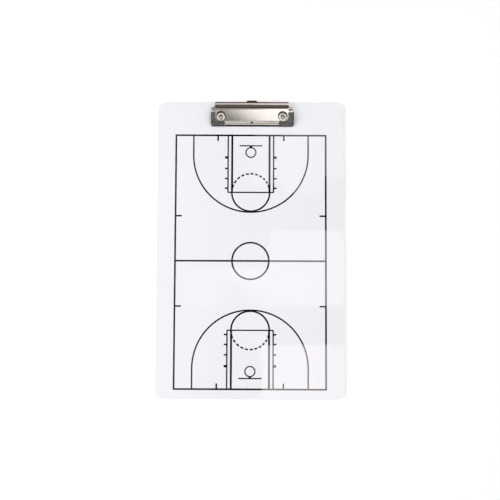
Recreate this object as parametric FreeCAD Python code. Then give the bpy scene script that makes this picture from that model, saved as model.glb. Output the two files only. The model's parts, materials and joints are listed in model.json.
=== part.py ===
import FreeCAD, Part
import math
import os

Vector = FreeCAD.Vector

# Coaching clipboard with a printed basketball court, lying flat on its back, in millimetres.
# The origin is the middle of the back face. X runs across the board, Y towards the clip
# at its top edge, and Z up out of the printed face.

# Board
board_width = 220.0
board_length = 350.0
board_corner_r = 10.0
core_thickness = 2.6
film_thickness = 0.2

# Printed court: margins and sizes to line centres, and distances from the baseline
court_side_margin = 21.5
court_bottom_margin = 11.0
court_top_margin = 40.2
ink_thickness = 0.06
boundary_line = 1.85
centre_circle_r = 21.6
circle_line = 1.7
side_tick_from_middle = 53.2
side_tick_length = 7.3
base_tick_x = 38.95
base_tick_length = 6.6
tick_line = 1.7
lane_outer_x = 26.9
lane_outer_line = 1.4
lane_inner_x = 22.1
lane_inner_line = 2.1
free_throw_distance = 68.25
free_throw_line = 1.35
free_throw_circle_r = 22.35
dash_first_gap = 26.3
dash_pitch = 12.6
dash_pitch_growth = 0.165
dash_gap = 5.6
dash_gap_count = 10
three_point_x = 67.7
three_point_centre_distance = 24.0
three_point_line = 1.5
backboard_distance = 12.45
backboard_length = 26.6
backboard_line = 1.25
ring_distance = 20.5
ring_r = 5.85
ring_line = 1.15
ring_neck_width = 2.6
lane_block_distance = 26.55
lane_block_line = 2.7
lane_mark_distances = (39.75, 51.85, 63.25)
lane_mark_length = 3.6

# Clip as a whole: its middle lies a little right of the board's middle
clip_width = 95.6
clip_shift = 0.9
pin_setback = 8.5
steel = 0.8
least_bend_r = 0.05

# Eyelets through the base plate and the board
eyelet_inset = 11.2
eyelet_setback = 18.1
eyelet_bore_d = 4.6
eyelet_wall = 0.5
eyelet_flange_d = 10.8
eyelet_flange_height = 0.9
eyelet_flange_bevel = 0.5
eyelet_tail_d = 8.2
eyelet_tail_height = 0.6
eyelet_hole_gap = 0.05
washer_d = 11.0
washer_thickness = 0.6
recess_gap = 0.3
recess_spare = 0.15

# Hinge pin and torsion springs
pin_d = 2.2
pin_seat_gap = 0.02
pin_running_gap = 0.05
pin_head_d = 3.4
pin_head_length = 4.0
pin_head_bevel = 0.7
wire_d = 1.0
wire_flats = 6
coil_pin_gap = 0.1
coil_turn_gap = 0.45
coil_whole_turns = 2
spring_inset = 27.8
spring_seat_gap = 0.12
spring_base_leg = 4.6
spring_lip_leg = 5.0

# Pull-out hanging tab and its guide in the base plate
tab_width = 12.9
tab_sheet = 0.9
tab_face_gap = 0.1
tab_side_gap = 0.25
tab_head_width = 16.4
tab_head_length = 3.0
tab_travel = 12.5
tab_stop_gap = 0.2
tab_hole_d = 6.5
tab_hole_from_rim = 4.9
tab_overhang = 1.3
tab_rim_height = 1.9
tab_rim_angle = 75.0
tab_rim_bend_r = 1.0
tab_rim_corner_r = 1.5
guide_neck_length = 4.0
guide_corner_r = 1.2
guide_edge_bevel = 0.5

# Base plate
base_rear_reach = 5.5
base_side_inset = 1.8
base_margin = 0.6
base_toe_setback = 4.0
base_corner_r = 2.0
base_ear_r = 3.2
base_ear_bend_r = 0.5
ear_gap = 0.3

# Clamp plate: its top face, followed from the jaw's toe to the thumb lip's rolled edge
shoulder_width = 4.3
shoulder_y = -3.9
shoulder_r = 0.8
toe_reach = 19.6
toe_gap = 1.2
toe_length = 1.9
toe_bend_r = 1.0
jaw_run = 2.2
jaw_edge_angle = 40.0
jaw_edge_r = 1.2
jaw_edge_end_gap = 0.3
paper_gap = 0.1
crease_height = 5.2
crease_r = 0.9
coil_roof_gap = 1.0
lip_root_y = -0.4
lip_bend_r = 4.5
lip_angle = 45.0
lip_length = 4.5
land_r = 1.4
land_angle = 6.0
land_length = 2.3
roll_r = 1.6
roll_angle = -35.0
roll_tail = 1.6
lip_corner_r = 2.0
clamp_ear_ring = 0.8
access_hole_d = 11.8
dent_r = 1.1
dent_tip_r = 0.2
dent_depth = 0.42
dent_up_slope = 0.42

# Rubber corner pads
rubber = 1.1
pad_left_wall = 0.7
pad_right_wall = 2.0
pad_front_wall = 1.5
pad_over_jaw = 15.7
pad_over_side = 4.8
pad_along_side = 16.2
pad_jaw_leg = 5.4
pad_corner_r = 2.5
pad_end_r = 0.8
pad_hole_relief = 0.6

# Places worked out from the sizes above
board_top = core_thickness + 2 * film_thickness
court_width = board_width - 2 * court_side_margin
court_length = board_length - court_bottom_margin - court_top_margin
court_y = (court_bottom_margin - court_top_margin) / 2
baseline_y = court_length / 2
pin_y = board_length / 2 - pin_setback
pin_r = pin_d / 2
wire_r = wire_d / 2
coil_r = pin_r + coil_pin_gap + wire_r
coil_pitch = wire_d + coil_turn_gap
guide_top = tab_sheet + 2 * tab_face_gap + steel
pin_height = max(steel + spring_seat_gap + coil_r + wire_r, guide_top + spring_seat_gap + pin_r)
eyelet_y = pin_setback - eyelet_setback
eyelet_x = clip_width / 2 - eyelet_inset
eyelet_barrel_r = eyelet_bore_d / 2 + eyelet_wall
recess_depth = washer_thickness + eyelet_tail_height + recess_spare
clamp_ear_r = pin_r + pin_running_gap + clamp_ear_ring
clamp_half_width = clip_width / 2
lip_half_width = clamp_half_width - shoulder_width
base_ear_x = lip_half_width + ear_gap
base_half_width = base_ear_x - base_side_inset
toe_top = toe_gap + steel
tab_top = tab_face_gap + tab_sheet
tab_neck_y = base_rear_reach - guide_neck_length
tab_head_rear_y = tab_neck_y - tab_stop_gap - tab_travel
tab_head_front_y = tab_head_rear_y - tab_head_length
guide_front_y = tab_head_front_y - tab_stop_gap
base_front_y = min(base_toe_setback - toe_reach, guide_front_y - steel,
                   eyelet_y - eyelet_flange_d / 2 - base_margin)


def step_from(point, angle_deg, length):
    """The flat point that lies a length away in a direction."""
    angle = math.radians(angle_deg)
    return (point[0] + length * math.cos(angle), point[1] + length * math.sin(angle))


lip_root = (lip_root_y, pin_height + coil_r + wire_r + coil_roof_gap + steel)
lip_crest = step_from(lip_root, lip_angle, lip_length)
lip_rear = step_from(lip_crest, land_angle, land_length)
clamp_line = [
    (-toe_reach, toe_top),
    (-toe_reach + toe_length, toe_top),
    (-toe_reach + toe_length + jaw_run, crease_height),
    lip_root,
    lip_crest,
    lip_rear,
    step_from(lip_rear, roll_angle, roll_tail),
]
clamp_bends = [0, toe_bend_r, crease_r, lip_bend_r, land_r, roll_r, 0]


def direction(start, end):
    """Unit direction between two flat points."""
    length = math.dist(start, end)
    return ((end[0] - start[0]) / length, (end[1] - start[1]) / length)


def rounded_edges(points, radii, closed, place):
    """Straight runs through flat points, joined by tangent arcs, put in space by place."""
    count = len(points)
    corners = []
    for index, (point, radius) in enumerate(zip(points, radii)):
        if radius < least_bend_r or (not closed and index in (0, count - 1)):
            corners.append((point, None, point))
            continue
        before = direction(points[index - 1], point)
        after = direction(point, points[(index + 1) % count])
        turn = math.acos(before[0] * after[0] + before[1] * after[1])
        reach = radius * math.tan(turn / 2)
        inward = direction(before, after)
        depth = radius / math.cos(turn / 2) - radius
        start = (point[0] - before[0] * reach, point[1] - before[1] * reach)
        middle = (point[0] + inward[0] * depth, point[1] + inward[1] * depth)
        end = (point[0] + after[0] * reach, point[1] + after[1] * reach)
        corners.append((start, middle, end))
    edges = []
    for index, (start, middle, end) in enumerate(corners):
        if middle:
            edges.append(Part.Arc(place(start), place(middle), place(end)).toShape())
        if closed or index < count - 1:
            following = corners[(index + 1) % count][0]
            edges.append(Part.makeLine(place(end), place(following)))
    return edges


def moved_right(points, radii, distance):
    """A line of runs moved sideways to its right, with the bend radii that keep it parallel."""
    ways = [direction(a, b) for a, b in zip(points, points[1:])]
    new_points = []
    new_radii = []
    for index, point in enumerate(points):
        before = ways[max(index - 1, 0)]
        after = ways[min(index, len(ways) - 1)]
        share = distance / (1 + before[0] * after[0] + before[1] * after[1])
        new_points.append((point[0] + share * (before[1] + after[1]),
                           point[1] - share * (before[0] + after[0])))
        turn_left = before[0] * after[1] - before[1] * after[0]
        growth = math.copysign(1, turn_left) * distance
        new_radii.append(radii[index] + growth if radii[index] else 0)
    return new_points, new_radii


def face_of(edges):
    """Flat face inside a closed run of edges."""
    return Part.Face(Part.Wire(Part.__sortEdges__(edges)))


def bent_strip(points, radii, near, far, place):
    """Face between two lines parallel to a bent line, as a section through formed sheet."""
    near_points, near_radii = moved_right(points, radii, near)
    far_points, far_radii = moved_right(points, radii, far)
    edges = rounded_edges(near_points, near_radii, False, place)
    edges += rounded_edges(far_points, far_radii, False, place)
    edges.append(Part.makeLine(place(near_points[0]), place(far_points[0])))
    edges.append(Part.makeLine(place(near_points[-1]), place(far_points[-1])))
    return face_of(edges)


def flat_at(z):
    """Places flat points of the board's own plane at a height."""
    return lambda point: Vector(point[0], point[1], z)


def clip_plan_at(z):
    """Places flat points of the clip, measured from its middle and the hinge axis."""
    return lambda point: Vector(clip_shift + point[0], pin_y + point[1], board_top + z)


def clip_side_at(x):
    """Places points of the clip's side view, measured from the hinge axis and the board face."""
    return lambda point: Vector(clip_shift + x, pin_y + point[0], board_top + point[1])


def clip_front_at(y):
    """Places points of the clip's front view, measured from its middle and the board face."""
    return lambda point: Vector(clip_shift + point[0], pin_y + y, board_top + point[1])


def plan_prism(points, radii, low, high):
    """Upright solid over a rounded outline in the clip's plan."""
    face = face_of(rounded_edges(points, radii, True, clip_plan_at(low)))
    return face.extrude(Vector(0, 0, high - low))


def box_outline(x0, x1, y0, y1):
    """Corners of a rectangle."""
    return [(x0, y0), (x1, y0), (x1, y1), (x0, y1)]


def across(face, length):
    """Extrudes a side view across the clip."""
    return face.extrude(Vector(length, 0, 0))


def other_side(shape):
    """Mirror image across the clip's middle."""
    return shape.mirror(Vector(clip_shift, 0, 0), Vector(1, 0, 0))


def hinge_cylinder(radius, x0, x1):
    """Solid round bar on the hinge axis."""
    start = clip_side_at(x0)((0, pin_height))
    return Part.makeCylinder(radius, x1 - x0, start, Vector(1, 0, 0))


def eyelet_cylinder(radius, low, high, side):
    """Solid round bar on an eyelet's axis, between heights over the board's back."""
    x = clip_shift + side * eyelet_x
    return Part.makeCylinder(radius, high - low, Vector(x, pin_y + eyelet_y, low))


def eyelet_cuts(radius, low, high):
    """The same bar on both eyelet axes."""
    return [eyelet_cylinder(radius, low, high, side) for side in (-1, 1)]


def board_slab(low, high):
    """One full layer of the board with rounded corners."""
    half_x, half_y = board_width / 2, board_length / 2
    outline = box_outline(-half_x, half_x, -half_y, half_y)
    face = face_of(rounded_edges(outline, [board_corner_r] * 4, True, flat_at(low)))
    return face.extrude(Vector(0, 0, high - low))


def recess_cuts():
    """Pockets in the board's back for the washers."""
    return eyelet_cuts(washer_d / 2 + recess_gap, -film_thickness, recess_depth)


def barrel_cuts():
    """Holes through the board and the base plate for the eyelet barrels."""
    return eyelet_cuts(eyelet_barrel_r + eyelet_hole_gap, -film_thickness, board_top + 2 * steel)


def core_panel():
    slab = board_slab(film_thickness, film_thickness + core_thickness)
    return slab.cut(recess_cuts()).cut(barrel_cuts())


def front_film():
    return board_slab(film_thickness + core_thickness, board_top).cut(barrel_cuts())


def back_film():
    return board_slab(0, film_thickness).cut(recess_cuts())


def court_place(point):
    """Places a point of the court, measured from the court's middle."""
    return Vector(point[0], court_y + point[1], board_top)


def line_mark(start, end, width):
    """Straight printed line."""
    way = direction(start, end)
    side = (way[1] * width / 2, -way[0] * width / 2)
    corners = [(start[0] + side[0], start[1] + side[1]), (end[0] + side[0], end[1] + side[1]),
               (end[0] - side[0], end[1] - side[1]), (start[0] - side[0], start[1] - side[1])]
    return face_of(rounded_edges(corners, [0] * 4, True, court_place))


def ring_mark(centre, radius, width):
    """Full printed circle."""
    outer, inner = [Part.Wire(Part.makeCircle(radius + half, court_place(centre)))
                    for half in (width / 2, -width / 2)]
    return Part.Face(outer).cut(Part.Face(inner))


def arc_mark(centre, radius, width, start_deg, end_deg):
    """Part of a printed circle, between two directions."""
    middle_deg = (start_deg + end_deg) / 2
    edges = []
    ends = []
    for reach in (radius + width / 2, radius - width / 2):
        points = [court_place(step_from(centre, angle, reach))
                  for angle in (start_deg, middle_deg, end_deg)]
        edges.append(Part.Arc(*points).toShape())
        ends.append((points[0], points[2]))
    edges += [Part.makeLine(ends[0][0], ends[1][0]), Part.makeLine(ends[0][1], ends[1][1])]
    return face_of(edges)


def free_throw_marks():
    """Free-throw line and circle, dashed on the basket's side."""
    line_y = baseline_y - free_throw_distance
    centre = (0, line_y)
    marks = [line_mark((-lane_outer_x, line_y), (lane_outer_x, line_y), free_throw_line),
             arc_mark(centre, free_throw_circle_r, circle_line, 180, 360)]
    starts = [0]
    ends = []
    for count in range(dash_gap_count):
        gap = dash_first_gap + dash_pitch * count + dash_pitch_growth * count * count
        ends.append(gap - dash_gap / 2)
        starts.append(gap + dash_gap / 2)
    ends.append(180)
    marks += [line_mark(step_from(centre, start, free_throw_circle_r),
                        step_from(centre, end, free_throw_circle_r), circle_line)
              for start, end in zip(starts[1:-1], ends[1:-1])]
    marks += [arc_mark(centre, free_throw_circle_r, circle_line, starts[index], ends[index])
              for index in (0, -1)]
    return marks


def lane_marks(side):
    """Double lane line of one side, with its block and its marks."""
    line_y = baseline_y - free_throw_distance
    marks = [line_mark((side * x, line_y), (side * x, baseline_y), width)
             for x, width in ((lane_outer_x, lane_outer_line), (lane_inner_x, lane_inner_line))]
    rows = [(lane_block_distance, lane_block_line)]
    rows += [(distance, tick_line) for distance in lane_mark_distances]
    for distance, width in rows:
        y = baseline_y - distance
        marks.append(line_mark((side * lane_outer_x, y),
                               (side * (lane_outer_x + lane_mark_length), y), width))
    return marks


def side_marks(side):
    """Three-point line's straight run and the ticks of one side."""
    arc_y = baseline_y - three_point_centre_distance
    side_x = side * court_width / 2
    return [
        line_mark((side * three_point_x, arc_y), (side * three_point_x, baseline_y), three_point_line),
        line_mark((side * base_tick_x, baseline_y),
                  (side * base_tick_x, baseline_y - base_tick_length), tick_line),
        line_mark((side_x, side_tick_from_middle),
                  (side_x - side * side_tick_length, side_tick_from_middle), tick_line),
    ]


def basket_marks():
    """Backboard, ring and the neck between them."""
    board_y = baseline_y - backboard_distance
    ring_y = baseline_y - ring_distance
    return [
        line_mark((-backboard_length / 2, board_y), (backboard_length / 2, board_y), backboard_line),
        line_mark((0, board_y), (0, ring_y + ring_r), ring_neck_width),
        ring_mark((0, ring_y), ring_r, ring_line),
    ]


def court_print():
    """All court lines as one thin layer of ink, one end mirrored from the other."""
    arc_y = baseline_y - three_point_centre_distance
    half = free_throw_marks() + basket_marks()
    half.append(arc_mark((0, arc_y), three_point_x, three_point_line, 180, 360))
    for side in (-1, 1):
        half += lane_marks(side) + side_marks(side)
    middle = court_place((0, 0))
    other_half = [mark.mirror(middle, Vector(0, 1, 0)) for mark in half]
    edge = boundary_line / 2
    half_x, half_y = court_width / 2, court_length / 2
    outer, inner = [
        face_of(rounded_edges(box_outline(-half_x - grow, half_x + grow, -half_y - grow, half_y + grow),
                              [0] * 4, True, court_place)) for grow in (edge, -edge)]
    whole = [outer.cut(inner), line_mark((-half_x, 0), (half_x, 0), boundary_line),
             ring_mark((0, 0), centre_circle_r, circle_line)]
    whole += half + other_half
    layers = [mark.extrude(Vector(0, 0, ink_thickness)) for mark in whole]
    return layers[0].multiFuse(layers[1:]).removeSplitter()


def base_ear():
    """Right hinge ear of the base plate, bent up from it."""
    line = [(base_half_width - base_corner_r, steel), (base_ear_x, steel),
            (base_ear_x, pin_height + base_ear_r)]
    section = bent_strip(line, [0, base_ear_bend_r, 0], 0, steel, clip_front_at(-base_ear_r))
    bent = section.extrude(Vector(0, 2 * base_ear_r, 0))
    inside = base_half_width - base_corner_r
    outside = base_ear_x + steel
    crown = hinge_cylinder(base_ear_r, inside, outside)
    foot = plan_prism(box_outline(inside, outside, -base_ear_r, base_ear_r), [0] * 4, 0, pin_height)
    bore = hinge_cylinder(pin_r + pin_seat_gap, inside, outside)
    return bent.common(crown.fuse(foot)).cut(bore)


def tab_guide():
    """Raised guide of the base plate, before it is hollowed for the tab."""
    half = tab_head_width / 2 + tab_side_gap + steel
    outline = box_outline(-half, half, base_front_y, base_rear_reach)
    raised = plan_prism(outline, [guide_corner_r] * 4, 0, guide_top)
    crown_low = board_top + guide_top - guide_edge_bevel
    crown = [edge for edge in raised.Edges if edge.BoundBox.ZMin > crown_low]
    return raised.makeChamfer(guide_edge_bevel, crown)


def tab_space():
    """Space in the guide in which the tab and its wider head slide."""
    neck = tab_width / 2 + tab_side_gap
    head = tab_head_width / 2 + tab_side_gap
    top = tab_top + tab_face_gap
    past = base_rear_reach + base_margin
    neck_space = plan_prism(box_outline(-neck, neck, guide_front_y, past), [0] * 4, 0, top)
    head_space = plan_prism(box_outline(-head, head, guide_front_y, tab_neck_y), [0] * 4, 0, top)
    return neck_space.fuse(head_space)


def clip_base_plate():
    outline = box_outline(-base_half_width, base_half_width, base_front_y, base_rear_reach)
    plate = plan_prism(outline, [base_corner_r] * 4, 0, steel)
    ear = base_ear()
    plate = plate.multiFuse([tab_guide(), ear, other_side(ear)])
    return plate.cut([tab_space()] + barrel_cuts()).removeSplitter()


def eyelet(side):
    """Hollow rivet with a rolled flange on the clip and a rolled tail in the back's recess."""
    x = clip_shift + side * eyelet_x
    y = pin_y + eyelet_y
    bore = eyelet_bore_d / 2
    seat = board_top + steel
    crest = seat + eyelet_flange_height
    washer_low = recess_depth - washer_thickness
    tail = [(bore, recess_spare), (eyelet_tail_d / 2, recess_spare), (eyelet_tail_d / 2, washer_low)]
    barrel = [(eyelet_barrel_r, washer_low), (eyelet_barrel_r, seat)]
    flange = [(eyelet_flange_d / 2, seat), (eyelet_flange_d / 2, crest - eyelet_flange_bevel),
              (eyelet_flange_d / 2 - eyelet_flange_bevel, crest), (bore, crest)]
    outline = tail + barrel + flange
    face = face_of(rounded_edges(outline, [0] * len(outline), True,
                                 lambda point: Vector(x + point[0], y, point[1])))
    return face.revolve(Vector(x, y, 0), Vector(0, 0, 1), 360)


def eyelet_washer(side):
    low = recess_depth - washer_thickness
    ring = eyelet_cylinder(washer_d / 2, low, recess_depth, side)
    return ring.cut(eyelet_cylinder(eyelet_barrel_r + eyelet_hole_gap, low, recess_depth, side))


def hinge_pin():
    """Plain pin with a bevelled head closed over each ear."""
    ear_face = base_ear_x + steel
    end = ear_face + pin_head_length
    head_r = pin_head_d / 2
    right = [(ear_face, pin_r), (ear_face, head_r), (end - pin_head_bevel, head_r),
             (end, head_r - pin_head_bevel), (end, 0)]
    outline = right + [(-x, radius) for x, radius in reversed(right)]
    face = face_of(rounded_edges(outline, [0] * len(outline), True,
                                 lambda point: clip_front_at(0)((point[0], pin_height + point[1]))))
    return face.revolve(clip_front_at(0)((0, pin_height)), Vector(1, 0, 0), 360)


def arc_from(start, control, end):
    """Arc that leaves start towards a control point and arrives at end from it."""
    middle = (start + end) * 0.5
    across_arc = middle - control
    tangent = (start - control).Length
    half_angle = math.acos(min(across_arc.Length / tangent, 1))
    crown = tangent / math.cos(half_angle) - tangent * math.tan(half_angle)
    return Part.Arc(start, control + across_arc * (crown / across_arc.Length), end).toShape()


def two_arcs(start, start_way, end, end_way):
    """Two tangent arcs between two points with given directions."""
    chord = end - start
    ways = start_way + end_way
    along = chord.dot(ways)
    spread = 2 * (1 - start_way.dot(end_way))
    tangent = (math.sqrt(along * along + spread * chord.dot(chord)) - along) / spread
    first = start + start_way * tangent
    second = end - end_way * tangent
    join = (first + second) * 0.5
    return [arc_from(start, first, join), arc_from(join, second, end)]


def clamp_bend_centre(index):
    """Centre of one of the clamp plate's bends, in its side view."""
    corner = clamp_line[index]
    before = direction(clamp_line[index - 1], corner)
    after = direction(corner, clamp_line[index + 1])
    inward = direction(before, after)
    half_turn = math.acos(before[0] * after[0] + before[1] * after[1]) / 2
    reach = clamp_bends[index] / math.cos(half_turn)
    return (corner[0] + inward[0] * reach, corner[1] + inward[1] * reach)


def spring_lip_angle():
    """Slope of the leg that bears under the lip's bend: it touches the coil and that bend."""
    centre_y, centre_z = clamp_bend_centre(3)
    rise = centre_z - pin_height
    reach = coil_r + lip_bend_r + steel + wire_r + spring_seat_gap
    angle = math.atan2(rise, centre_y) - math.asin(reach / math.hypot(centre_y, rise))
    return math.degrees(angle)


def spring_wire():
    """Centre line of the right spring: base leg, coil of half turns, lip leg."""
    whole = 360 * coil_whole_turns + 180 - spring_lip_angle()
    steps = math.ceil(whole / 180)
    origin = clip_side_at(clamp_half_width - spring_inset)((0, pin_height))
    rise = coil_pitch / (2 * math.pi)
    stations = []
    for step in range(steps + 1):
        turned = math.radians(whole * step / steps)
        angle = math.radians(270) - turned
        point = origin + Vector(rise * turned, coil_r * math.cos(angle), coil_r * math.sin(angle))
        way = Vector(rise, coil_r * math.sin(angle), -coil_r * math.cos(angle))
        stations.append((point, way.normalize()))
    edges = []
    for (start, start_way), (end, end_way) in zip(stations, stations[1:]):
        edges += two_arcs(start, start_way, end, end_way)
    first, first_way = stations[0]
    last, last_way = stations[-1]
    edges.insert(0, Part.makeLine(first - first_way * spring_base_leg, first))
    edges.append(Part.makeLine(last, last + last_way * spring_lip_leg))
    return Part.Wire(edges)


def print_spring_gap(wire):
    """Least clear distance between turns, on points spread along the wire."""
    spacing = wire_r / 2
    points = wire.discretize(Distance=spacing)
    half_turn = int(math.pi * coil_r / spacing)
    least = min((points[i] - points[j]).Length
                for i in range(len(points)) for j in range(i + half_turn, len(points)))
    print("torsion spring: least gap to itself", round(least - wire_d, 3), "mm")


def torsion_spring():
    """Right spring as one wire, its round section drawn with a few flats."""
    wire = spring_wire()
    print_spring_gap(wire)
    first = wire.Edges[0]
    start = first.valueAt(first.FirstParameter)
    way = first.tangentAt(first.FirstParameter)
    side = way.cross(Vector(0, 0, 1)).normalize()
    turn = FreeCAD.Rotation(way, 360 / wire_flats)
    corners = [start + side * wire_r]
    for _ in range(wire_flats):
        side = turn.multVec(side)
        corners.append(start + side * wire_r)
    return wire.makePipeShell([Part.makePolygon(corners)], True, False)


def clamp_outline():
    """Plan of the clamp plate, narrower behind its shoulders."""
    front = -toe_reach - steel
    rear = clamp_line[-1][0] + steel
    right = [(clamp_half_width, front), (clamp_half_width, shoulder_y),
             (lip_half_width, shoulder_y), (lip_half_width, rear)]
    left = [(-x, y) for x, y in reversed(right)]
    radii = [0, shoulder_r, shoulder_r, lip_corner_r]
    return right + left, radii + radii[::-1]


def clamp_ear():
    """Right ear of the clamp plate, bent down round the hinge pin."""
    under, under_bends = moved_right(clamp_line[2:5], clamp_bends[2:5], steel / 2)
    below = under + [(under[-1][0], 0), (under[0][0], 0)]
    inside = lip_half_width - steel
    region = across(face_of(rounded_edges(below, [0] + under_bends[1:2] + [0] * 3, True,
                                          clip_side_at(inside))), steel)
    ring = hinge_cylinder(clamp_ear_r, inside, lip_half_width)
    web = plan_prism(box_outline(inside, lip_half_width, -clamp_ear_r, clamp_ear_r), [0] * 4,
                     pin_height, lip_crest[1])
    return region.common(ring.fuse(web))


def jaw_edge():
    """Jaw's edge between the pads, bent down to the paper, and the flat toe that it replaces."""
    half = clamp_half_width - pad_over_jaw - jaw_edge_end_gap
    slope = math.radians(jaw_edge_angle)
    corner_y = -toe_reach
    end_z = paper_gap + steel * math.cos(slope)
    end_y = corner_y - (toe_top - end_z) / math.tan(slope)
    join_y = corner_y + toe_length / 2
    line = [(end_y, end_z), (corner_y, toe_top), (join_y, toe_top)]
    section = bent_strip(line, [0, jaw_edge_r, 0], 0, steel, clip_side_at(-half))
    flat_toe = plan_prism(box_outline(-half, half, corner_y, join_y), [0] * 4, 0, toe_top)
    return across(section, 2 * half), flat_toe


def clamp_plate():
    """Formed sheet: one bent section across the clip, trimmed in plan, with its jaw edge and ears."""
    outline, outline_radii = clamp_outline()
    section = bent_strip(clamp_line, clamp_bends, 0, steel, clip_side_at(-clamp_half_width))
    sheet = across(section, 2 * clamp_half_width)
    sheet = sheet.common(plan_prism(outline, outline_radii, 0, lip_rear[1]))
    ear = clamp_ear()
    turned_edge, flat_toe = jaw_edge()
    dent_space, dent_bulge = jaw_dent()
    sheet = sheet.cut(flat_toe).multiFuse([turned_edge, dent_bulge, ear, other_side(ear)])
    bore = hinge_cylinder(pin_r + pin_running_gap, -lip_half_width, lip_half_width)
    holes = eyelet_cuts(access_hole_d / 2, board_top, board_top + lip_rear[1])
    return sheet.cut([bore, dent_space] + holes).removeSplitter()


def jaw_dent():
    """Cone that presses the stiffening dent into the jaw's slope, and the bulge behind it."""
    low, high = clamp_line[1], clamp_line[2]
    way = direction(low, high)
    run = dent_up_slope * math.dist(low, high)
    mouth = clip_side_at(0)((low[0] + way[0] * run, low[1] + way[1] * run))
    inward = Vector(0, way[1], -way[0])
    half_sheet = steel / 2
    dent = Part.makeCone(dent_r, dent_tip_r, dent_depth, mouth, inward)
    bulge = Part.makeCone(dent_r + half_sheet, dent_tip_r + half_sheet, dent_depth + half_sheet,
                          mouth + inward * half_sheet, inward)
    return dent, bulge


def corner_pad(clamp, side_wall):
    """Right rubber pad, moulded round the clamp plate's front corner."""
    outer_x = clamp_half_width + side_wall
    inner_x = clamp_half_width - pad_over_jaw
    leg_x = clamp_half_width - pad_over_side
    front_y = -toe_reach - pad_front_wall
    rear_y = front_y + pad_along_side
    leg_y = front_y + pad_jaw_leg
    crease = clamp_line[2]
    way = direction(crease, lip_root)
    rear_z = crease[1] + (rear_y - crease[0]) * way[1] / way[0]
    line = [(front_y, toe_top), clamp_line[1], crease, (rear_y, rear_z)]
    section = bent_strip(line, clamp_bends[:3] + [0], -rubber, steel + rubber, clip_side_at(inner_x))
    body = across(section, outer_x - inner_x)
    top = lip_root[1] + rubber
    outline = [(outer_x, rear_y), (leg_x, rear_y), (leg_x, leg_y), (inner_x, leg_y),
               (inner_x, front_y), (outer_x, front_y)]
    radii = [pad_end_r, pad_end_r, 0, pad_end_r, pad_end_r, pad_corner_r]
    plan = plan_prism(outline, radii, 0, top)
    fill = plan_prism(box_outline(eyelet_x, leg_x, leg_y, eyelet_y), [0] * 4, 0, top)
    relief = eyelet_cylinder(access_hole_d / 2 + pad_hole_relief, 0, board_top + top, 1)
    return body.common(plan.fuse(fill)).cut([relief, clamp])


def hang_tab():
    """Sheet tab with a head inside the guide, a hook hole and a turned-up rim to pull."""
    rim_way = math.radians(tab_rim_angle)
    lean = tab_rim_height / math.tan(rim_way)
    end_y = pin_setback + tab_overhang
    rim_y = end_y - lean - tab_sheet * math.sin(rim_way)
    line = [(tab_head_front_y, tab_top), (rim_y, tab_top), (rim_y + lean, tab_top + tab_rim_height)]
    half = tab_width / 2
    section = bent_strip(line, [0, tab_rim_bend_r, 0], 0, tab_sheet, clip_side_at(-half))
    sheet = across(section, tab_width)
    front_view = box_outline(-half, half, 0, tab_top + tab_rim_height)
    outline = face_of(rounded_edges(front_view, [0, 0, tab_rim_corner_r, tab_rim_corner_r], True,
                                    clip_front_at(tab_head_front_y)))
    sheet = sheet.common(outline.extrude(Vector(0, end_y - tab_head_front_y, 0)))
    head = plan_prism(box_outline(-tab_head_width / 2, tab_head_width / 2,
                                  tab_head_front_y, tab_head_rear_y), [0] * 4, tab_face_gap, tab_top)
    hole = Part.makeCylinder(tab_hole_d / 2, tab_top, clip_plan_at(0)((0, rim_y - tab_hole_from_rim)))
    return sheet.fuse(head).cut(hole).removeSplitter()


def build():
    """Every piece by its name."""
    clamp = clamp_plate()
    spring = torsion_spring()
    return {
        "core_panel": core_panel(),
        "front_film": front_film(),
        "back_film": back_film(),
        "court_print": court_print(),
        "clip_base_plate": clip_base_plate(),
        "eyelet_left": eyelet(-1),
        "eyelet_right": eyelet(1),
        "eyelet_washer_left": eyelet_washer(-1),
        "eyelet_washer_right": eyelet_washer(1),
        "hinge_pin": hinge_pin(),
        "torsion_spring_left": other_side(spring),
        "torsion_spring_right": spring,
        "clamp_plate": clamp,
        "corner_pad_left": other_side(corner_pad(clamp, pad_left_wall)),
        "corner_pad_right": corner_pad(clamp, pad_right_wall),
        "hang_tab": hang_tab(),
    }


os.makedirs("parts", exist_ok=True)
for name, shape in build().items():
    shape.exportStep(f"parts/{name}.step")
    print(name, len(shape.Solids), "solids", round(shape.Volume, 2), "mm3", "valid", shape.isValid())
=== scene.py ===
import json
import math

import bmesh
import bpy
from mathutils import Matrix


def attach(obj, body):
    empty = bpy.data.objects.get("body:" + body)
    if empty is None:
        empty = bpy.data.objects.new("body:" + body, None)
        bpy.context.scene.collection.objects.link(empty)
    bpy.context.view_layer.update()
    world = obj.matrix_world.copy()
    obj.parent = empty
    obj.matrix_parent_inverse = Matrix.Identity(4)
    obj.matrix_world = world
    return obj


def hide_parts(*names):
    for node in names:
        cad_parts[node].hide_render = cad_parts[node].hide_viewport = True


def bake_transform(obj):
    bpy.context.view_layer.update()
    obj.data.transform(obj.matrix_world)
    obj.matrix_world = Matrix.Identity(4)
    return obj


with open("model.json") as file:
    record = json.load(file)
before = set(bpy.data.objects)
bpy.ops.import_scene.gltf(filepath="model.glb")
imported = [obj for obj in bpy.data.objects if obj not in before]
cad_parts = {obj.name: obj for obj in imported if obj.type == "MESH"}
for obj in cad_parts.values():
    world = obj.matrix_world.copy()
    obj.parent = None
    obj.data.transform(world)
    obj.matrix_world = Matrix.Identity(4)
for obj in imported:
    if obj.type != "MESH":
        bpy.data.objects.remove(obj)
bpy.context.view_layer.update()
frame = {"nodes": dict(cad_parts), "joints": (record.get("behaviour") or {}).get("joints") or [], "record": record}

# All sizes are in metres, and heights are over the board's back. The clip is placed from its pin.
MM = 0.001
CLIP_X, PIN_Y, PIN_Z = next(row["pos_m"] for row in frame["joints"] if row["name"] == "clamp_hinge")
RIVET_OUT, RIVET_Y = 0.0366, PIN_Y - 0.0096
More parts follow.
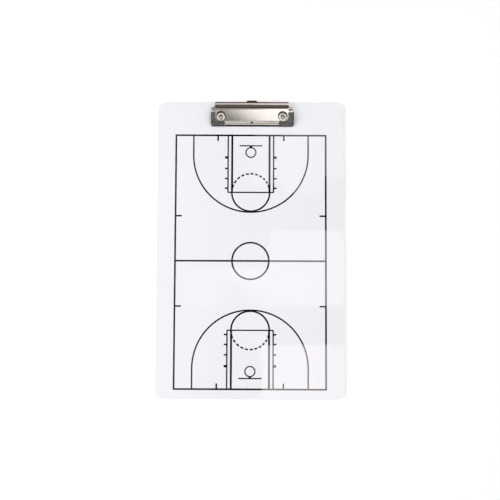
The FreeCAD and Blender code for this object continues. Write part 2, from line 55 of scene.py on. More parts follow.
# Corners of loose triangles that are nearer than this are one corner.
SAME_CORNER = 1e-6


class Wire:
    """A socket in a node tree. Arithmetic on it adds Math nodes to that tree."""

    def __init__(self, bench, socket):
        self.bench, self.socket = bench, socket

    def maths(self, operation, *terms):
        return self.bench.node("ShaderNodeMath", {"operation": operation}, enumerate(terms))

    def __add__(self, other):
        return self.maths("ADD", self, other)

    def __radd__(self, other):
        return self.maths("ADD", other, self)

    def __sub__(self, other):
        return self.maths("SUBTRACT", self, other)

    def __rsub__(self, other):
        return self.maths("SUBTRACT", other, self)

    def __mul__(self, other):
        return self.maths("MULTIPLY", self, other)

    def __rmul__(self, other):
        return self.maths("MULTIPLY", other, self)

    def __truediv__(self, other):
        return self.maths("DIVIDE", self, other)

    def __rtruediv__(self, other):
        return self.maths("DIVIDE", other, self)

    def __pow__(self, other):
        return self.maths("POWER", self, other)

    def least(self, other):
        return self.maths("MINIMUM", self, other)

    def most(self, other):
        return self.maths("MAXIMUM", self, other)

    def sine(self):
        return self.maths("SINE", self)

    def cosine(self):
        return self.maths("COSINE", self)

    def size(self):
        return self.maths("ABSOLUTE", self)

    def step(self, none_at, full_at):
        """0 up to none_at, 1 from full_at on, and smooth between. Either may be the greater."""
        return self.bench.node(
            "ShaderNodeMapRange",
            {"interpolation_type": "SMOOTHSTEP"},
            {"Value": self, "From Min": none_at, "From Max": full_at},
        )


class Bench:
    """Builds one node tree. Every node comes from node()."""

    def __init__(self, tree):
        self.tree = tree

    def node(self, kind, settings=(), sockets=(), out=0):
        made = self.tree.nodes.new(kind)
        for name, value in dict(settings).items():
            setattr(made, name, value)
        for name, value in dict(sockets).items():
            if isinstance(value, Wire):
                self.tree.links.new(value.socket, made.inputs[name])
            else:
                made.inputs[name].default_value = value
        return Wire(self, made.outputs[out]) if made.outputs else None

    def place(self, stretch=(1.0, 1.0, 1.0), turn=0.0):
        """Object coordinates, stretched and turned about Z."""
        here = self.node("ShaderNodeTexCoord", out="Object")
        return self.node(
            "ShaderNodeMapping",
            {},
            {"Vector": here, "Scale": stretch, "Rotation": (0.0, 0.0, turn)},
        )

    def noise(self, place, scale=1.0, detail=2.0, rough=0.5, warp=0.0):
        sockets = {"Scale": scale, "Detail": detail, "Roughness": rough, "Distortion": warp}
        return self.node(
            "ShaderNodeTexNoise", {"noise_dimensions": "3D"}, {"Vector": place} | sockets
        )

    def cells(self, place, scale, feature="F1"):
        return self.node(
            "ShaderNodeTexVoronoi", {"feature": feature}, {"Vector": place, "Scale": scale}
        )

    def axis(self, place, letter):
        return self.node("ShaderNodeSeparateXYZ", {}, {0: place}, out=letter)

    def blend(self, mask, first, second):
        """The first colour where the mask is 0, the second where it is 1."""
        return self.node(
            "ShaderNodeMix",
            {"data_type": "RGBA"},
            {0: mask, 6: self.colour(first), 7: self.colour(second)},
            out=2,
        )

    def colour(self, value):
        return value if isinstance(value, Wire) else (*value, 1.0)

    def scaled(self, vector, factor):
        return self.node(
            "ShaderNodeVectorMath", {"operation": "SCALE"}, {0: vector, "Scale": factor}
        )

    def bump(self, height, depth):
        """A normal from a height between 0 and 1 that stands for a depth in metres."""
        return self.node(
            "ShaderNodeBump", {}, {"Strength": 1.0, "Distance": depth, "Height": height}
        )


def reach(across, along):
    """How far off a point is that lies this far across and along."""
    return (across * across + along * along) ** 0.5


def finish_of(name, look):
    """A material whose Principled sockets are what look(bench) gives."""
    material = bpy.data.materials.new(name)
    material.use_nodes = True
    material.node_tree.nodes.clear()
    bench = Bench(material.node_tree)
    shader = bench.node("ShaderNodeBsdfPrincipled", {}, look(bench))
    bench.node("ShaderNodeOutputMaterial", {}, {"Surface": shader})
    return material


SHEET_WAVES, SHEET_WAVE_DEPTH = 14.0, 0.00005


def sheet_wave(bench, place):
    """The faint wave in the film, which the print follows."""
    return bench.noise(place, SHEET_WAVES, detail=1.0)


def writing_film(bench):
    """Gloss white film: a faint wave in the sheet, cloth wipes and the odd fine hair scratch."""
    white, milky_white = (0.880, 0.882, 0.931), (0.893, 0.896, 0.943)
    wiped_white, wipe_tint = (0.80, 0.80, 0.84), 0.05
    gloss, wipe_haze, hair_haze = 0.012, 0.012, 0.12
    hair_width, hair_depth = 0.012, 0.03
    flat = bench.place()
    cloud = bench.noise(flat, scale=9.0, detail=3.0)
    along_wipes = bench.place(stretch=(26.0, 260.0, 26.0), turn=0.6)
    wiped = bench.noise(along_wipes, detail=4.0, rough=0.6, warp=0.4).step(0.5, 0.75)
    along_hairs = bench.place(stretch=(9.0, 900.0, 9.0), turn=-0.35)
    from_hair = (bench.noise(along_hairs, warp=1.2) - 0.5).size()
    hair = from_hair.step(hair_width, 0.0) * cloud.step(0.5, 0.7)
    tone = bench.blend(cloud.step(0.3, 0.7), white, milky_white)
    height = sheet_wave(bench, flat) * (1.0 - hair_depth) - hair * hair_depth
    return {
        "Base Color": bench.blend(wiped * wipe_tint, tone, wiped_white),
        "Roughness": gloss + wiped * wipe_haze + hair * hair_haze,
        "Specular IOR Level": 0.4,
        "Normal": bench.bump(height, SHEET_WAVE_DEPTH),
    }


def court_ink(bench):
    """Black print under the gloss, a little uneven where the screen laid less ink."""
    full_black, thin_black = (0.004, 0.004, 0.005), (0.010, 0.010, 0.012)
    pinhole_grey, pinhole_tint = (0.12, 0.12, 0.125), 0.5
    gloss, lay_haze = 0.012, 0.02
    flat = bench.place()
    lay = bench.noise(flat, scale=60.0, detail=3.0)
    in_patches = bench.noise(flat, scale=130.0).step(0.55, 0.65)
    pinholes = bench.cells(flat, scale=900.0).step(0.12, 0.05) * in_patches
    tone = bench.blend(lay.step(0.35, 0.7), full_black, thin_black)
    return {
        "Base Color": bench.blend(pinholes * pinhole_tint, tone, pinhole_grey),
        "Roughness": gloss + lay * lay_haze,
        "IOR": 1.63,
        "Specular IOR Level": 1.0,
        "Normal": bench.bump(sheet_wave(bench, flat), SHEET_WAVE_DEPTH),
    }


def cut_core(bench):
    """White foamed sheet, sawn at its edge: saw strokes along the cut and open pores."""
    dim_white, bright_white = (0.80, 0.80, 0.82), (0.87, 0.87, 0.88)
    pore_grey, pore_tint = (0.55, 0.55, 0.57), 0.35
    matt, stroke_haze = 0.55, 0.15
    stroke_height, pore_height, cut_depth = 0.6, 0.4, 0.00012
    flat = bench.place()
    strokes = bench.noise(bench.place(stretch=(700.0, 700.0, 60.0)))
    pores = bench.cells(flat, scale=1700.0).step(0.35, 0.12)
    tone = bench.blend(bench.noise(flat, scale=25.0), dim_white, bright_white)
    return {
        "Base Color": bench.blend(pores * pore_tint, tone, pore_grey),
        "Roughness": matt + strokes * stroke_haze,
        "Normal": bench.bump(strokes * stroke_height - pores * pore_height, cut_depth),
    }


# Marks on the clamp plate. Paper has worn the jaw from its crease on to a rougher finish. The slope
# over its edge has a painted highlight, a lighter base colour for a brighter reflection, and the
# turned-down edge, the dent, the fold under the lip and the lip's back edge have painted shade, dark
# base colour where shade falls; the dent is also rougher. Thumbs have rubbed the lip's crown to a satin.
JAW_CREASE_Y, JAW_SLOPE_Y = PIN_Y - 0.0149, PIN_Y - 0.0155
SLOPE_TOP_Y, SLOPE_BRIGHT_Y = PIN_Y - 0.0155, PIN_Y - 0.0159
SLOPE_DULL_Y, SLOPE_FOOT_Y = PIN_Y - 0.0170, PIN_Y - 0.0176
TOE_Y, TURNED_EDGE_Y = PIN_Y - 0.0191, PIN_Y - 0.0196
DENT_Y, DENT_STRETCH, DENT_RIM, DENT_FLOOR = PIN_Y - 0.0170, 1.5, 0.0017, 0.0011
LIP_EDGE_Z, LIP_CROWN_Z = 0.01330, 0.01341
FOLD_LOW_Z, FOLD_HIGH_Z, FOLD_EDGE = 0.0100, 0.0112, 0.0001
LIP_BACK_Y, LIP_SHADE_Y = PIN_Y + 0.0051, PIN_Y + 0.0054
LIP_LOW_Z, LIP_HIGH_Z = 0.0116, 0.0122


def nickel_plate(bench):
    """Nickel on rolled strip: fine grain, soft smudges, dull spots, a worn jaw and lip, a painted highlight on the
    jaw slope, and painted shade on the turned edge, dent, fold and lip's back edge.
    """
    bright, smudged, smudge_tint = (0.67, 0.627, 0.583), (0.62, 0.572, 0.522), 0.6
    gloss, grain_haze, smudge_haze, spot_haze = 0.06, 0.03, 0.02, 0.08
    jaw_haze, dent_haze, thumb_haze = 0.12, 0.3, 0.2
    grain_depth = 0.000002
    flat = bench.place()
    across, along, height = [bench.axis(flat, letter) for letter in "XYZ"]
    grain = bench.noise(bench.place(stretch=(90.0, 2600.0, 2600.0)), detail=3.0)
    smudge = bench.noise(flat, scale=85.0, detail=3.0, rough=0.55, warp=0.6).step(0.45, 0.75)
    spots = bench.cells(flat, scale=420.0).step(0.16, 0.04) * smudge
    worn = along.step(JAW_CREASE_Y, JAW_SLOPE_Y)
    # Painted highlight: the slope over the jaw's edge gets a lighter base colour that stands for a brighter
    # reflection.
    lightened = along.step(SLOPE_TOP_Y, SLOPE_BRIGHT_Y) * along.step(SLOPE_FOOT_Y, SLOPE_DULL_Y)
    # Painted shade: the turned-down edge of the jaw is painted dark.
    turned_edge_shade = along.step(TOE_Y, TURNED_EDGE_Y)
    # Painted shade: the dent is painted dark, and made rougher.
    dent_shade = reach(across - CLIP_X, (along - DENT_Y) * DENT_STRETCH).step(DENT_RIM, DENT_FLOOR)
    thumbed = height.step(LIP_EDGE_Z, LIP_CROWN_Z)
    # Painted shade: the fold under the lip is painted darker.
    over_fold = height.step(FOLD_LOW_Z - FOLD_EDGE, FOLD_LOW_Z + FOLD_EDGE)
    fold_shade = over_fold * height.step(FOLD_HIGH_Z + FOLD_EDGE, FOLD_HIGH_Z - FOLD_EDGE)
    # Painted shade: the lip's back edge is painted dark.
    lip_back_shade = along.step(LIP_BACK_Y, LIP_SHADE_Y) * height.step(LIP_LOW_Z, LIP_HIGH_Z)
    # The lighter slope mark is a painted highlight, and the turned edge, fold, lip's back edge and dent marks are
    # painted shade; the dull spots are the plate's own.
    marks = [
        (lightened, (0.93, 0.90, 0.86)),
        (turned_edge_shade * 0.95, (0.06, 0.056, 0.052)),
        (spots * 0.4, (0.46, 0.41, 0.36)),
        (fold_shade * 0.5, (0.16, 0.145, 0.13)),
        (lip_back_shade * 0.95, (0.07, 0.063, 0.057)),
        (dent_shade, (0.06, 0.052, 0.046)),
    ]
    tone = bench.blend(smudge * smudge_tint, bright, smudged)
    for mask, mark in marks:
        tone = bench.blend(mask, tone, mark)
    polish = gloss + grain * grain_haze + smudge * smudge_haze + spots * spot_haze
    jaw = worn * (jaw_haze + grain * jaw_haze)
    return {
        "Base Color": tone,
        "Metallic": 1.0,
        "Roughness": polish + jaw + dent_shade * dent_haze + thumbed * thumb_haze,
        "Normal": bench.bump(grain, grain_depth),
    }


BORE_R, BORE_LIP_R = 0.0024, 0.0031


def rolled_nickel(bench):
    """The rivets' brighter nickel, drawn round in the punch, with patchy stains, and darker brown down the bore.
    """
    bright, stained, bore_brown = (0.84, 0.82, 0.79), (0.30, 0.235, 0.19), (0.15, 0.085, 0.06)
    satin, draw_haze, stain_haze, bore_haze = 0.26, 0.1, 0.1, 0.1
    stain_tint, draw_depth = 0.8, 0.000006
    flat = bench.place()
    draw = bench.noise(flat, scale=1500.0)
    stain = bench.noise(flat, scale=460.0).step(0.5, 0.6)
    across = (bench.axis(flat, "X") - CLIP_X).size() - RIVET_OUT
    along = bench.axis(flat, "Y") - RIVET_Y
    bore = reach(across, along).step(BORE_LIP_R, BORE_R)
    plate = bench.blend(stain * stain_tint, bright, stained)
    browned = bore * (stain_tint + stain * (1.0 - stain_tint))
    return {
        "Base Color": bench.blend(browned, plate, bore_brown),
        "Metallic": 1.0,
        "Roughness": satin + draw * draw_haze + stain * stain_haze + bore * bore_haze,
        "Normal": bench.bump(draw, draw_depth),
    }


def drawn_wire(bench):
    """Spring wire: die lines along it and a thin film of oil that has gone brown in places."""
    bare, oiled = (0.50, 0.50, 0.51), (0.36, 0.34, 0.31)
    satin, line_haze, line_depth = 0.28, 0.12, 0.000008
    lines = bench.noise(bench.place(stretch=(5000.0, 700.0, 700.0)))
    oil = bench.noise(bench.place(), scale=300.0).step(0.4, 0.7)
    return {
        "Base Color": bench.blend(oil, bare, oiled),
        "Metallic": 1.0,
        "Roughness": satin + lines * line_haze,
        "Normal": bench.bump(lines, line_depth),
    }


# Where the pads' worn tops end and their outer walls, painted darker as shade, begin, at the sides and in front.
PAD_EDGE_X, PAD_SIDE_X = 0.0478, 0.0492
PAD_EDGE_Y, PAD_FRONT_Y = PIN_Y - 0.0197, PIN_Y - 0.0208


def pad_rubber(bench):
    """Moulded grey-black rubber with a leathery grain, paler where it has been rubbed, with painted shade
    darkening its outer walls and front.
    """
    pit_black, grain_black = (0.034, 0.034, 0.035), (0.075, 0.074, 0.073)
    wall_shade_black, rubbed_grey = (0.028, 0.028, 0.030), (0.215, 0.212, 0.205)
    dust_tint, rub_tint = 0.7, 0.2
    matt, dust_haze = 0.62, 0.2
    grain_height, dust_height, skin_depth = 0.7, 0.3, 0.00018
    flat = bench.place()
    grain = bench.cells(bench.place(turn=0.4), scale=1500.0, feature="SMOOTH_F1")
    dust = bench.noise(flat, scale=620.0, detail=3.0, rough=0.6)
    rub = bench.noise(flat, scale=260.0).step(0.42, 0.62)
    front = bench.axis(flat, "Y").step(PAD_EDGE_Y, PAD_FRONT_Y)
    # Painted shade: the outer walls and the front are painted darker.
    wall_shade = front.most((bench.axis(flat, "X") - CLIP_X).size().step(PAD_EDGE_X, PAD_SIDE_X))
    lightened = (dust.step(0.44, 0.66) * dust_tint + rub * rub_tint) * (1.0 - wall_shade)
    tone = bench.blend(grain.step(0.1, 0.6), pit_black, grain_black)
    tone = bench.blend(wall_shade, tone, wall_shade_black)
    return {
        "Base Color": bench.blend(lightened, tone, rubbed_grey),
        "Roughness": matt + dust * dust_haze,
        "Specular IOR Level": 0.4,
        "Normal": bench.bump(grain * grain_height + dust * dust_height, skin_depth),
    }


FINISHES = {
    "writing_film": finish_of("gloss_writing_film", writing_film),
    "court_ink": finish_of("court_black_ink", court_ink),
    "board_core": finish_of("cut_white_core", cut_core),
    "plated_steel": finish_of("nickel_plated_strip", nickel_plate),
    "rivet_steel": finish_of("rolled_bright_nickel", rolled_nickel),
    "spring_wire": finish_of("drawn_spring_wire", drawn_wire),
    "pad_rubber": finish_of("grained_pad_rubber", pad_rubber),
}

for row in frame["record"]["subparts"]:
    piece = frame["nodes"][row["node"]]
    piece.data.materials.clear()
    piece.data.materials.append(FINISHES[row["material_slot"]])


def new_tree(name, sizes):
    """A Geometry Nodes tree with a named input for each size: its bench, and the inputs' wires."""
    tree = bpy.data.node_groups.new(name, "GeometryNodeTree")
    tree.interface.new_socket("Outline", in_out="INPUT", socket_type="NodeSocketGeometry")
    for size in sizes:
        tree.interface.new_socket(size, in_out="INPUT", socket_type="NodeSocketFloat")
    tree.interface.new_socket("Piece", in_out="OUTPUT", socket_type="NodeSocketGeometry")
    bench = Bench(tree)
    return bench, [bench.node("NodeGroupInput", out=size) for size in ("Outline", *sizes)]


def end_tree(bench, geometry, finish, smooth=True):
    whole = bench.node("GeometryNodeRealizeInstances", {}, {"Geometry": geometry})
    shaded = bench.node(
        "GeometryNodeSetShadeSmooth", {}, {"Geometry": whole, "Shade Smooth": smooth}
    )
    dressed = bench.node("GeometryNodeSetMaterial", {}, {"Geometry": shaded, "Material": finish})
    bench.node("NodeGroupOutput", {}, {"Piece": dressed})
    return bench.tree


def plain_mesh(piece):
    """A plain mesh of what the piece's modifiers make."""
    shaped = piece.evaluated_get(bpy.context.evaluated_depsgraph_get())
    return bpy.data.meshes.new_from_object(shaped)


def grow(name, tree, sizes, outline=None):
    """A plain mesh object that the tree makes of these sizes, and of an outline if it has one."""
    start = outline or bpy.data.meshes.new(name)
    piece = bpy.data.objects.new(name, start)
    bpy.context.scene.collection.objects.link(piece)
    form = piece.modifiers.new("form", "NODES")
    form.node_group = tree
    for item in tree.interface.items_tree:
        if item.in_out == "INPUT" and item.name in sizes:
            form[item.identifier] = sizes[item.name]
    made = plain_mesh(piece)
    piece.modifiers.clear()
    piece.data = made
    bpy.data.meshes.remove(start)
    return piece


# The coil's rise in a turn, its whole turns, and the degrees from there on to its upper leg.
COIL_PITCH, COIL_TURNS, LEG_TURN = 0.00145, 2, 135.1227
COIL_BOTTOM = 1.5 * math.pi
SPRING_OUT = 0.020
SPRING_POINTS, WIRE_SIDES = 180, 16
SPRING = {
    "Coil radius": 0.0017,
    "Rise": COIL_PITCH / (2 * math.pi),
    "Wound": math.radians(360 * COIL_TURNS + LEG_TURN),
    "Wire radius": 0.0005,
    "Base leg": 0.0046,
    "Lip leg": 0.0050,
}


def spring_tree():
    """Round wire: a straight base leg, a coil about the pin, and a leg under the thumb lip."""
    bench, wires = new_tree("wound_wire_spring", (*SPRING, "Start X", "Hand"))
    _, coil_r, rise, wound, wire_r, base_leg, lip_leg, start_x, hand = wires
    path = bench.node("GeometryNodeCurvePrimitiveLine")
    path = bench.node("GeometryNodeResampleCurve", {}, {"Curve": path, "Count": SPRING_POINTS})
    along = bench.node("GeometryNodeSplineParameter", out="Factor")
    coil_length = coil_r * wound
    run = along * (base_leg + coil_length + lip_leg) - base_leg
    turned = (run / coil_r).most(0.0).least(wound)
    leg = run.least(0.0) + (run - coil_length).most(0.0)
    angle = COIL_BOTTOM - turned
    spot = bench.node(
        "ShaderNodeCombineXYZ",
        {},
        {
            "X": start_x + hand * rise * turned,
            "Y": PIN_Y + coil_r * angle.cosine() + leg * angle.sine(),
            "Z": PIN_Z + coil_r * angle.sine() - leg * angle.cosine(),
        },
    )
    path = bench.node("GeometryNodeSetPosition", {}, {"Geometry": path, "Position": spot})
    ring = bench.node(
        "GeometryNodeCurvePrimitiveCircle", {}, {"Resolution": WIRE_SIDES, "Radius": wire_r}
    )
    wire = bench.node(
        "GeometryNodeCurveToMesh", {}, {"Curve": path, "Profile Curve": ring, "Fill Caps": True}
    )
    return end_tree(bench, wire, FINISHES["spring_wire"])


wire_form = spring_tree()
for side, hand in (("left", -1.0), ("right", 1.0)):
    start_x = CLIP_X + hand * SPRING_OUT
    end_x = start_x + hand * SPRING["Rise"] * SPRING["Wound"]
    wound_up = SPRING | {"Start X": start_x, "Hand": hand}
    spring = grow(f"round_wire_spring_{side}", wire_form, wound_up)
    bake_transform(spring)
    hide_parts(f"torsion_spring_{side}")

ROLL_STEPS, RIVET_SIDES = 7, 56
RIVETS = {
    "Turning radius": 0.003,
    "Half spacing": RIVET_OUT,
    "Middle X": CLIP_X,
    "Middle Y": RIVET_Y,
}
# Radius, height over the board's back and edge roll of each corner of the profile, in millimetres.
RIVET_PROFILE = [
    (2.3, 0.15, 0.0), (2.3, 4.7, 0.8), (5.4, 4.7, 0.85), (5.4, 3.8, 0.0),
    (2.8, 3.8, 0.0), (2.8, 0.75, 0.0), (4.1, 0.75, 0.0), (4.1, 0.15, 0.4),
]


def rivet_outline():
    """The profile as a closed line beside the path that it is turned along."""
    mesh = bpy.data.meshes.new("rivet_profile")
    count = len(RIVET_PROFILE)
    mesh.from_pydata(
        [(r * MM - RIVETS["Turning radius"], -z * MM, 0.0) for r, z, _ in RIVET_PROFILE],
        [(corner, (corner + 1) % count) for corner in range(count)],
        [],
    )
    rolls = mesh.attributes.new("roll", "FLOAT", "POINT")
    rolls.data.foreach_set("value", [roll * MM for _, _, roll in RIVET_PROFILE])
    return mesh


def rivet_tree():
    """A drawn profile with rolled edges, turned round and set at both rivet places."""
    bench, wires = new_tree("rolled_rivets", RIVETS)
    outline, turning_r, half_spacing, middle_x, middle_y = wires
    profile = bench.node("GeometryNodeMeshToCurve", {}, {"Mesh": outline})
    roll = bench.node("GeometryNodeInputNamedAttribute", {"data_type": "FLOAT"}, {"Name": "roll"})
    profile = bench.node(
        "GeometryNodeFilletCurve",
        {"mode": "POLY"},
        {"Curve": profile, "Count": ROLL_STEPS, "Radius": roll, "Limit Radius": True},
    )
    round_path = bench.node(
        "GeometryNodeCurvePrimitiveCircle", {}, {"Resolution": RIVET_SIDES, "Radius": turning_r}
    )
    rivet = bench.node(
        "GeometryNodeCurveToMesh", {}, {"Curve": round_path, "Profile Curve": profile}
    )
    ends = [
        bench.node("ShaderNodeCombineXYZ", {}, {"X": middle_x + side * half_spacing, "Y": middle_y})
        for side in (-1.0, 1.0)
    ]
    places = bench.node(
        "GeometryNodeMeshLine",
        {"mode": "END_POINTS"},
        {"Count": len(ends), "Start Location": ends[0], "Offset": ends[1]},
    )
    pair = bench.node("GeometryNodeInstanceOnPoints", {}, {"Points": places, "Instance": rivet})
    return end_tree(bench, pair, FINISHES["rivet_steel"])


rivets = grow("rolled_rivets", rivet_tree(), RIVETS, rivet_outline())
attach(rivets, "board")
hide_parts("eyelet_left", "eyelet_right")

# How far the ink runs past each edge of the printed solids.
INK = {"Spread": 0.00015}


def print_tree():
    """The printed court, its ink spread a hair past the edges of the screen."""
    bench, (lines, spread) = new_tree("spread_ink", INK)
    lines = bench.node(
        "GeometryNodeMergeByDistance", {}, {"Geometry": lines, "Distance": SAME_CORNER}
    )
    outward = bench.node("GeometryNodeInputNormal")
    level = {letter: bench.axis(outward, letter) for letter in "XY"}
    sideways = bench.node("ShaderNodeCombineXYZ", {}, level)
    sideways = bench.node("ShaderNodeVectorMath", {"operation": "NORMALIZE"}, {0: sideways})
    offset = bench.scaled(sideways, spread)
    inked = bench.node("GeometryNodeSetPosition", {}, {"Geometry": lines, "Offset": offset})
    return end_tree(bench, inked, FINISHES["court_ink"], smooth=False)


screen = frame["nodes"]["court_print"].data.copy()
court_lines = grow("court_lines", print_tree(), INK, screen)
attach(court_lines, "board")
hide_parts("court_print")

# The mesh size of the pads' skin, and how strongly and how often their edges are eased.
PAD_SKIN, PAD_EASE, PAD_EASINGS = 0.0002, 0.5, 5
PITS = {"Pit size": 0.0011, "Pit depth": 0.00005}


def moulded_pad(side):
    """The pad's solid with an even skin and eased edges, as it comes out of a rubber mould."""
    skin = bpy.data.meshes.new("pad_skin")
    solid = bmesh.new()
    solid.from_mesh(frame["nodes"][f"corner_pad_{side}"].data)
    bmesh.ops.remove_doubles(solid, verts=solid.verts, dist=SAME_CORNER)
    solid.to_mesh(skin)
    solid.free()
    blank = bpy.data.objects.new("pad_blank", skin)
    bpy.context.scene.collection.objects.link(blank)
    even = blank.modifiers.new("even_skin", "REMESH")
    even.mode, even.voxel_size = "VOXEL", PAD_SKIN
    eased = blank.modifiers.new("eased_edges", "SMOOTH")
    eased.factor, eased.iterations = PAD_EASE, PAD_EASINGS
    mesh = plain_mesh(blank)
    bpy.data.objects.remove(blank)
    bpy.data.meshes.remove(skin)
    return mesh


def pad_tree():
    """Leathery pits pressed into the pad's skin."""
    bench, (skin, pit_size, pit_depth) = new_tree("leathery_pad", PITS)
    cells = bench.node(
        "ShaderNodeTexVoronoi", {"feature": "SMOOTH_F1"}, {"Scale": 1.0 / pit_size}
    )
    outward = bench.node("GeometryNodeInputNormal")
    inward = bench.scaled(outward, cells.step(0.6, 0.1) * pit_depth * -1.0)
    pitted = bench.node("GeometryNodeSetPosition", {}, {"Geometry": skin, "Offset": inward})
    return end_tree(bench, pitted, FINISHES["pad_rubber"])


pad_form = pad_tree()
for side in ("left", "right"):
    pad = grow(f"moulded_pad_{side}", pad_form, PITS, moulded_pad(side))
    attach(pad, "clamp")
    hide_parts(f"corner_pad_{side}")

# Soft panels over the table: left, right, near and far edge, and how bright each looks.
PANEL_HEIGHT = 2.4
PANELS = {
    "outer_left": (-2.60, -0.42, -1.40, 1.60, 1.72),
    "outer_right": (0.42, 2.60, -1.40, 1.60, 1.85),
    "far": (-0.42, 0.42, 0.90, 1.60, 1.0),
    "near": (-0.42, 0.42, -1.40, -0.55, 1.0),
    "left_far": (-0.42, -0.20, 0.29, 0.90, 0.25),
    "left_behind": (-0.42, -0.17, 0.155, 0.29, 0.25),
    "left_middle": (-0.42, -0.24, -0.115, 0.155, 0.25),
    "left_near": (-0.42, -0.15, -0.55, -0.115, 0.25),
    "right_far": (0.10, 0.243, 0.425, 0.90, 1.1),
    "right_far_corner": (0.243, 0.42, 0.485, 0.90, 1.1),
    "right_far_edge": (0.0, 0.10, 0.452, 0.90, 0.6),
    "right_middle": (0.13, 0.42, 0.023, 0.155, 2.0),
    "right_behind": (0.057, 0.42, 0.155, 0.29, 1.95),
    "middle_behind": (-0.17, 0.057, 0.155, 0.29, 0.12),
    "right_near": (0.03, 0.42, -0.55, -0.115, 2.25),
    "beside_fade": (-0.24, -0.13, 0.023, 0.155, 0.9),
}
WARM_PANELS = ("right_far", "right_far_corner", "right_middle", "right_behind", "right_near")
WARM_WHITE = (1.0, 0.93, 0.89)
# The middle panel fades towards the left, along a slanted edge, to a small share of its light.
FADE_PANEL = (-0.13, 0.13, 0.023, 0.155, 1.65)
FADE_DIM_X, FADE_FULL_X, FADE_MIDDLE_Y, FADE_SLANT = -0.132, -0.024, 0.106, 1.6
DIM_SHARE = 0.06
SIDE_PANEL_HEIGHT = 0.8
SIDE_PANEL = (-1.60, -0.70, -0.80, 0.40, 2.2)


def soft_panel(name, height, left, right, near, far, level):
    """A lamp that faces down and looks as bright as its level, where 1 is white."""
    light = bpy.data.lights.new(name, "AREA")
    light.shape = "RECTANGLE"
    light.size, light.size_y = right - left, far - near
    light.energy = level * math.pi * light.size * light.size_y
    panel = bpy.data.objects.new(name, light)
    panel.location = ((left + right) / 2, (near + far) / 2, height)
    panel.visible_camera = False
    bpy.context.scene.collection.objects.link(panel)
    return light


def fade_left(light):
    """Dims a panel towards its left."""
    light.use_nodes = True
    light.node_tree.nodes.clear()
    bench = Bench(light.node_tree)
    spot = bench.node("ShaderNodeNewGeometry", out="Position")
    slanted = bench.axis(spot, "X") + (bench.axis(spot, "Y") - FADE_MIDDLE_Y) * FADE_SLANT
    risen = (slanted - FADE_DIM_X) / (FADE_FULL_X - FADE_DIM_X)
    glow = bench.node("ShaderNodeEmission", {}, {"Strength": risen.most(DIM_SHARE).least(1.0)})
    bench.node("ShaderNodeOutputLight", {}, {"Surface": glow})


for name, panel_row in PANELS.items():
    light = soft_panel(f"panel_{name}", PANEL_HEIGHT, *panel_row)
    if name in WARM_PANELS:
        light.color = WARM_WHITE
soft_panel("side_panel", SIDE_PANEL_HEIGHT, *SIDE_PANEL)
fade_left(soft_panel("panel_fading", PANEL_HEIGHT, *FADE_PANEL))

# The room round the table, by how much of a direction points up, or towards the far end. The side
# walls are pale, the end walls only in a low strip, and the ceiling over the panels is darkest.
WALL_TOP, WALL_FOOT = 0.85, 0.5
SIDE_WALLS, END_WALLS, END_WALL_LOSS = 0.15, 0.55, 0.95
NEAR_STRIP_TOP, NEAR_STRIP_FOOT, NEAR_STRIP_SIDE, NEAR_STRIP_MIDDLE = 0.16, 0.08, -0.5, -0.85
TABLE_STRIP_TOP, TABLE_STRIP_FOOT = 0.10, 0.06
CEILING, CEILING_EDGE = 0.95, 0.85
DIM_GLOW, UNDER_CEILING_GLOW, PALE_GLOW = 0.02, 0.08, 0.9
DIM_TINT, PALE_TINT = (1.0, 0.9, 0.85), (1.0, 1.0, 1.0)


def studio_walls(world):
    """Plain walls that light the object softly and give the nickel something to mirror."""
    world.use_nodes = True
    world.node_tree.nodes.clear()
    bench = Bench(world.node_tree)
    direction = bench.node("ShaderNodeTexCoord", out="Generated")
    upward, forward = bench.axis(direction, "Z"), bench.axis(direction, "Y")
    to_ends = forward.size().step(SIDE_WALLS, END_WALLS)
    walls = upward.step(WALL_TOP, WALL_FOOT) * (1.0 - to_ends * END_WALL_LOSS)
    to_near = forward.step(NEAR_STRIP_SIDE, NEAR_STRIP_MIDDLE)
    near_strip = upward.step(NEAR_STRIP_TOP, NEAR_STRIP_FOOT) * to_near
    pale = walls.most(near_strip).most(upward.step(TABLE_STRIP_TOP, TABLE_STRIP_FOOT))
    under_ceiling = upward.step(CEILING, CEILING_EDGE)
    glow = DIM_GLOW + under_ceiling * UNDER_CEILING_GLOW + pale * PALE_GLOW
    tint = bench.blend(pale, DIM_TINT, PALE_TINT)
    room = bench.node("ShaderNodeBackground", {}, {"Color": tint, "Strength": glow})
    bench.node("ShaderNodeOutputWorld", {}, {"Surface": room})


bpy.context.scene.world = bpy.data.worlds.new("studio_walls")
studio_walls(bpy.context.scene.world)

TABLE_REACH, TABLE_TOP = 30.0, -0.0002
NEAR_TABLE, FAR_TABLE, NEAR_LIFT, ADDED_LIFT = 0.6, 3.0, 0.08, 0.9


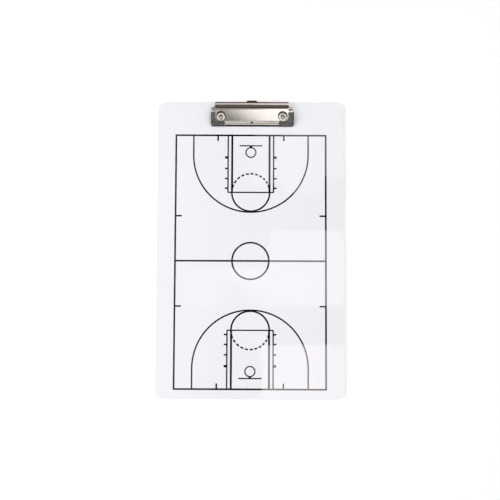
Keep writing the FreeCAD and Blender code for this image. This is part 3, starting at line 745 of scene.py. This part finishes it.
def pale_table(bench):
    """Matt white. What the camera and mirrors see is lifted, most far away, and lights nothing."""
    seen = bench.node("ShaderNodeLightPath", out="Is Camera Ray")
    mirrored = bench.node("ShaderNodeLightPath", out="Is Glossy Ray")
    through = bench.node("ShaderNodeLightPath", out="Is Transmission Ray")
    flat = bench.place()
    away = reach(bench.axis(flat, "X"), bench.axis(flat, "Y")).step(NEAR_TABLE, FAR_TABLE)
    lift = seen.most(mirrored).most(through) * (NEAR_LIFT + away * ADDED_LIFT)
    return {
        "Base Color": (0.97, 0.97, 0.97, 1.0),
        "Roughness": 1.0,
        "Specular IOR Level": 0.0,
        "Emission Color": bench.blend(lift, (0.0, 0.0, 0.0), (1.0, 1.0, 1.0)),
        "Emission Strength": 1.0,
    }


table_corners = [(-1.0, -1.0), (1.0, -1.0), (1.0, 1.0), (-1.0, 1.0)]
table_mesh = bpy.data.meshes.new("table")
table_mesh.from_pydata(
    [(x * TABLE_REACH, y * TABLE_REACH, TABLE_TOP) for x, y in table_corners],
    [],
    [range(len(table_corners))],
)
table_mesh.materials.append(finish_of("pale_table", pale_table))
table = bpy.data.objects.new("table", table_mesh)
bpy.context.scene.collection.objects.link(table)

CAMERA_PLACE = (0.00603, -0.11188, 1.19791)
CAMERA_LEAN, CAMERA_TILT, CAMERA_ROLL = 0.0054956, 0.0919559, 0.0047343
SENSOR_MM, LENS_MM = 36.0, 73.58
SIGHT_START, SIGHT_END = 0.01, 100.0

lens = bpy.data.cameras.new("overhead_camera")
lens.sensor_width, lens.lens = SENSOR_MM, LENS_MM
lens.clip_start, lens.clip_end = SIGHT_START, SIGHT_END
camera = bpy.data.objects.new("overhead_camera", lens)
camera_turn = (
    Matrix.Rotation(CAMERA_LEAN, 4, "Y")
    @ Matrix.Rotation(CAMERA_TILT, 4, "X")
    @ Matrix.Rotation(CAMERA_ROLL, 4, "Z")
)
camera.matrix_world = Matrix.Translation(CAMERA_PLACE) @ camera_turn
bpy.context.scene.collection.objects.link(camera)
bpy.context.scene.camera = camera
bpy.context.scene.view_settings.view_transform = "Standard"
